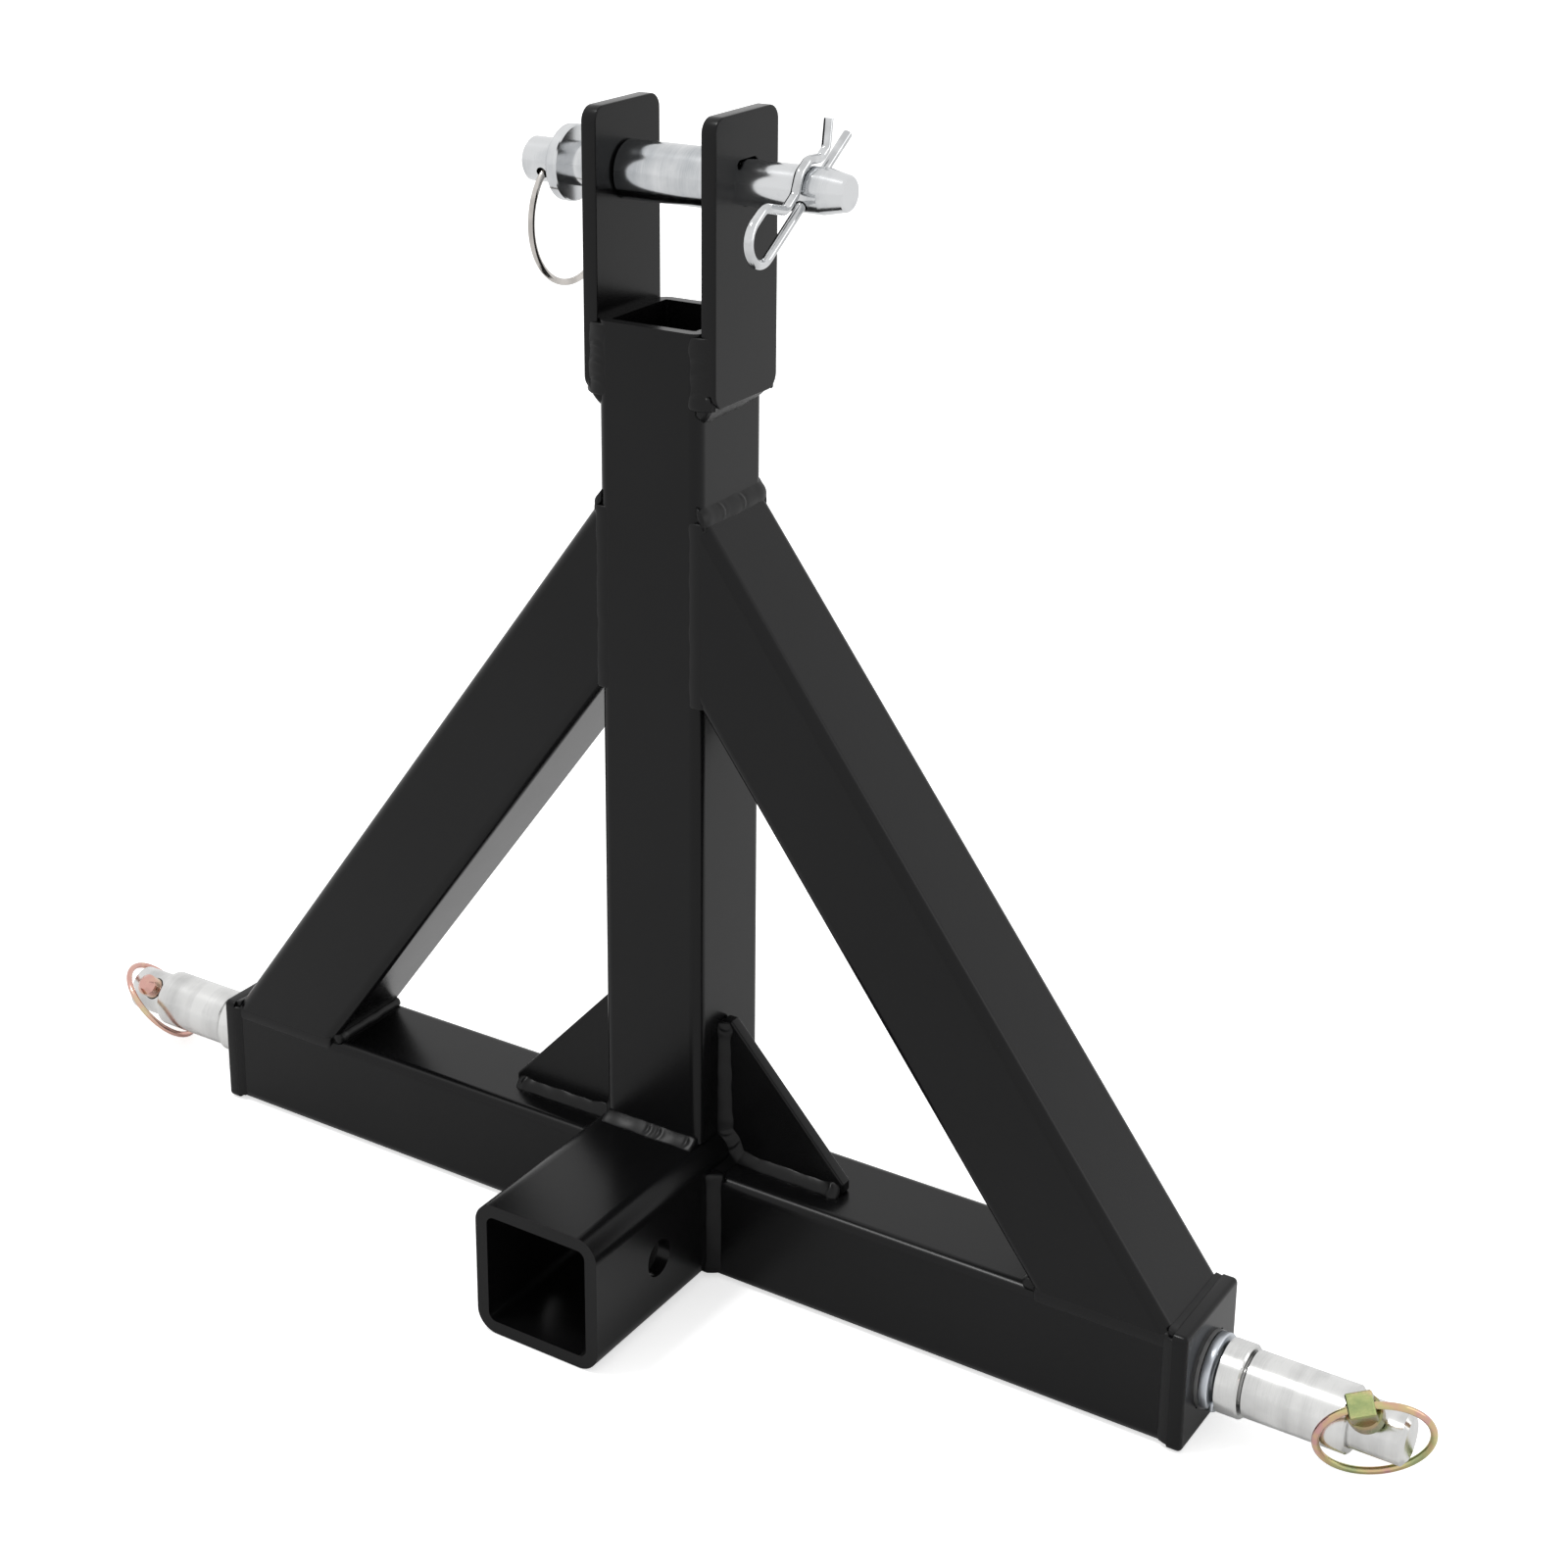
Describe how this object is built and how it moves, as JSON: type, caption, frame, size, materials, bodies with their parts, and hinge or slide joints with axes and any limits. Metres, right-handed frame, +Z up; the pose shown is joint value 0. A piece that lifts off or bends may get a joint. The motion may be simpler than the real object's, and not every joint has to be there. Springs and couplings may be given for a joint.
{
  "type": "three point receiver hitch",
  "caption": "Welded square-tube tractor hitch frame with a receiver socket at its foot, stub link pins at both ends and a clevis with a top link pin.",
  "frame": {"origin": "on the underside, in the middle of the hitch, below the front face of the crossbar", "axes": "+X to the right along the crossbar, +Y back towards the tractor, +Z up the mast"},
  "size_m": [0.697, 0.1578, 0.522],
  "materials": {
    "frame_paint": "satin",
    "plain_steel": "plain",
    "zinc_steel": "turned, bright zinc",
    "yellow_zinc": "yellow zinc",
    "nickel_wire": "bright"
  },
  "bodies": {
    "frame_body": {"receiver_tube": "frame_paint", "mast_tube": "frame_paint", "mast_foot_weld": "frame_paint", "crossbar_right": "frame_paint", "crossbar_left": "frame_paint", "brace_right": "frame_paint", "brace_left": "frame_paint", "gusset_right": "frame_paint", "gusset_left": "frame_paint", "end_plate_right": "frame_paint", "end_plate_left": "frame_paint", "clevis_ear_right": "frame_paint", "clevis_ear_left": "frame_paint", "receiver_weld_right": "frame_paint", "receiver_weld_left": "frame_paint", "ear_weld_right": "frame_paint", "ear_weld_left": "frame_paint", "brace_top_weld_right": "frame_paint", "brace_top_weld_left": "frame_paint", "brace_foot_weld_right": "frame_paint", "brace_foot_weld_left": "frame_paint", "gusset_weld_right": "frame_paint", "gusset_weld_left": "frame_paint", "end_plate_weld_right": "frame_paint", "end_plate_weld_left": "frame_paint", "weld_nut_right": "plain_steel", "weld_nut_left": "plain_steel", "lock_washer_right": "zinc_steel", "lock_washer_left": "zinc_steel", "lower_pin_right": "zinc_steel", "lower_pin_left": "zinc_steel"},
    "top_pin_body": {"top_pin": "zinc_steel", "spring_clip": "nickel_wire"},
    "top_bushing_body": {"top_bushing": "zinc_steel"},
    "top_ring_body": {"top_ring": "nickel_wire"},
    "lower_bushing_right_body": {"lower_bushing_right": "zinc_steel"},
    "lower_bushing_left_body": {"lower_bushing_left": "zinc_steel"},
    "linch_pin_right_body": {"linch_pin_right": "yellow_zinc"},
    "linch_pin_left_body": {"linch_pin_left": "yellow_zinc"},
    "linch_ring_right_body": {"linch_ring_right": "yellow_zinc"},
    "linch_ring_left_body": {"linch_ring_left": "yellow_zinc"}
  },
  "joints": [
    {"name": "top_pin_slide", "type": "slide", "parent": "frame_body", "child": "top_pin_body", "axis": [1, 0, 0], "range_m": [-0.027, 0.018]},
    {"name": "top_ring_swing", "type": "hinge", "parent": "top_pin_body", "child": "top_ring_body", "pos_m": [-0.0634, 0.0254, 0.49325], "axis": [0, 0.8988, 0.4384], "range_deg": [-10, 180]},
    {"name": "top_bushing_turn", "type": "hinge", "parent": "frame_body", "child": "top_bushing_body", "pos_m": [0, 0.0254, 0.49325], "axis": [1, 0, 0], "continuous": true},
    {"name": "lower_bushing_turn_right", "type": "hinge", "parent": "frame_body", "child": "lower_bushing_right_body", "pos_m": [0.2968, 0.0254, 0.0254], "axis": [1, 0, 0], "continuous": true},
    {"name": "lower_bushing_turn_left", "type": "hinge", "parent": "frame_body", "child": "lower_bushing_left_body", "pos_m": [-0.2968, 0.0254, 0.0254], "axis": [1, 0, 0], "continuous": true},
    {"name": "linch_pull_right", "type": "slide", "parent": "frame_body", "child": "linch_pin_right_body", "axis": [0, -0.6587, 0.7524], "range_m": [0, 0.06]},
    {"name": "linch_pull_left", "type": "slide", "parent": "frame_body", "child": "linch_pin_left_body", "axis": [0, 0.7501, -0.6613], "range_m": [0, 0.06]},
    {"name": "linch_ring_swing_right", "type": "hinge", "parent": "linch_pin_right_body", "child": "linch_ring_right_body", "pos_m": [0.3253, 0.00893, 0.04421], "axis": [0.8678, 0.3739, 0.3274], "range_deg": [-150, 0]},
    {"name": "linch_ring_swing_left", "type": "hinge", "parent": "linch_pin_left_body", "child": "linch_ring_left_body", "pos_m": [-0.3253, 0.04415, 0.00887], "axis": [0.7944, -0.4017, -0.4556], "range_deg": [0, 180]}
  ],
  "couplings": [
    {"joint": "linch_ring_swing_right", "follows": "linch_pull_right", "rad_per_m": -43.63},
    {"joint": "linch_ring_swing_left", "follows": "linch_pull_left", "rad_per_m": 52.35}
  ]
}
